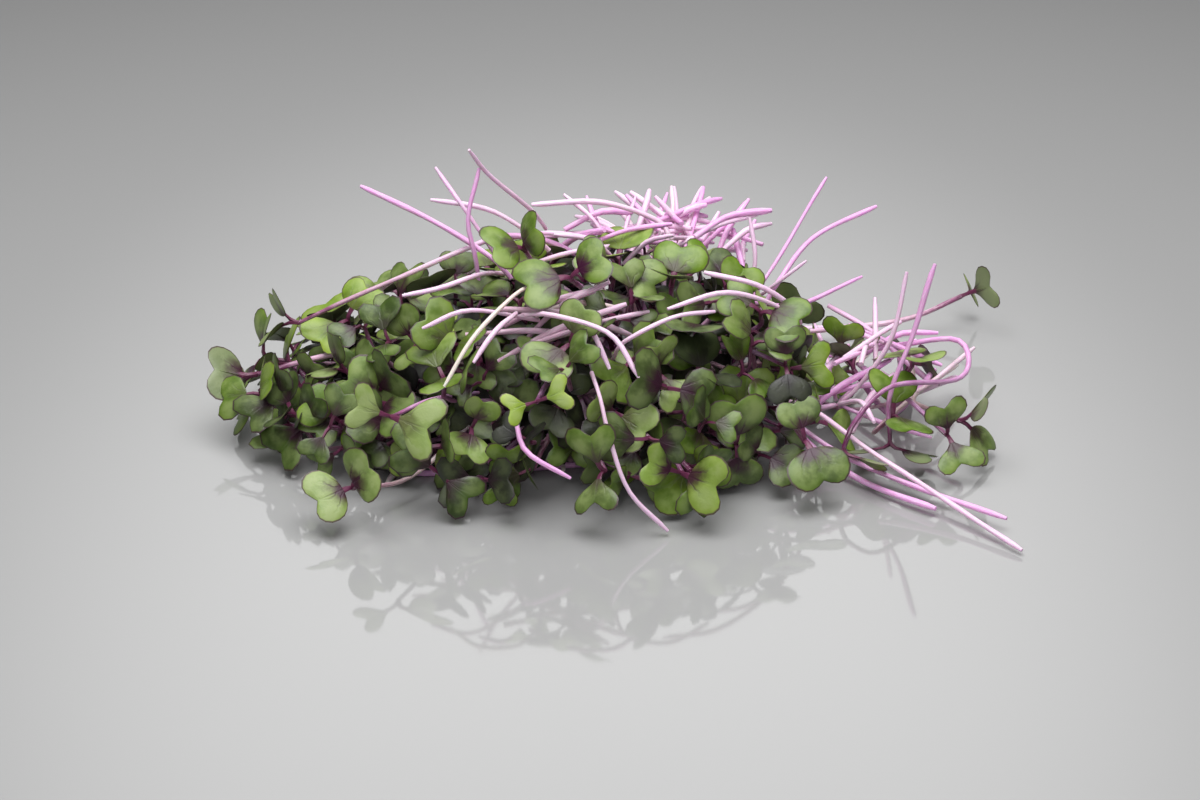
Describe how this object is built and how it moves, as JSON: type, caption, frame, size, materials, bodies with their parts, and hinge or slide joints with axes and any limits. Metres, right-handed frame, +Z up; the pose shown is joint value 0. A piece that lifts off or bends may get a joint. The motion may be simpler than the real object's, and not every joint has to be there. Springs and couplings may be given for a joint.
{
  "type": "heap of cut red cabbage microgreens",
  "caption": "Loose heap of cut red cabbage microgreens: notched two-lobed green leaves on thin pink-white stems, lying on a surface with the cut stem ends to the back and right.",
  "frame": {"origin": "the middle of the heap's bounding box in plan, at the surface it lies on", "axes": "+X towards the heap's loose right end, +Y to the back where the cut stem ends point, +Z up"},
  "size_m": [0.1794, 0.1168, 0.0635],
  "materials": {
    "leaf": "waxy",
    "stem": "satin"
  },
  "bodies": {
    "root": {"far_left_stem": "stem", "left_tip_stem": "stem", "low_left_stem": "stem", "left_upright_stem": "stem", "top_left_stem": "stem", "far_right_stem": "stem", "right_pair_stem": "stem", "hanging_stem": "stem", "looped_stem": "stem", "rightmost_stem": "stem", "front_right_stem": "stem", "front_bright_stem": "stem", "front_middle_stem": "stem", "small_clover_stem": "stem", "dark_pair_stem": "stem", "pale_front_stem": "stem", "big_top_stem": "stem", "far_left_leaves": "leaf", "left_tip_leaves": "leaf", "low_left_leaves": "leaf", "left_upright_leaves": "leaf", "top_left_leaves": "leaf", "far_right_leaves": "leaf", "right_pair_leaves": "leaf", "hanging_leaves": "leaf", "looped_leaves": "leaf", "rightmost_leaves": "leaf", "front_right_leaves": "leaf", "front_bright_leaves": "leaf", "front_middle_leaves": "leaf", "small_clover_leaves": "leaf", "dark_pair_leaves": "leaf", "pale_front_leaves": "leaf", "big_top_leaves": "leaf", "top_left_sticks": "stem", "top_arch_sticks": "stem", "middle_sticks": "stem", "middle_right_sticks": "stem", "top_right_sticks": "stem", "right_sticks": "stem", "front_right_sticks": "stem", "front_sticks": "stem", "back_sticks": "stem", "underside_sticks": "stem", "right_bunch": "leaf", "leafy_bunch_01": "leaf", "leafy_bunch_02": "leaf", "leafy_bunch_03": "leaf", "leafy_bunch_04": "leaf", "leafy_bunch_05": "leaf", "leafy_bunch_06": "leaf", "leafy_bunch_07": "leaf", "leafy_bunch_08": "leaf", "leafy_bunch_09": "leaf", "leafy_bunch_10": "leaf", "leafy_bunch_11": "leaf", "leafy_bunch_12": "leaf", "leafy_bunch_13": "leaf", "leafy_bunch_14": "leaf", "leafy_bunch_15": "leaf"}
  },
  "joints": []
}
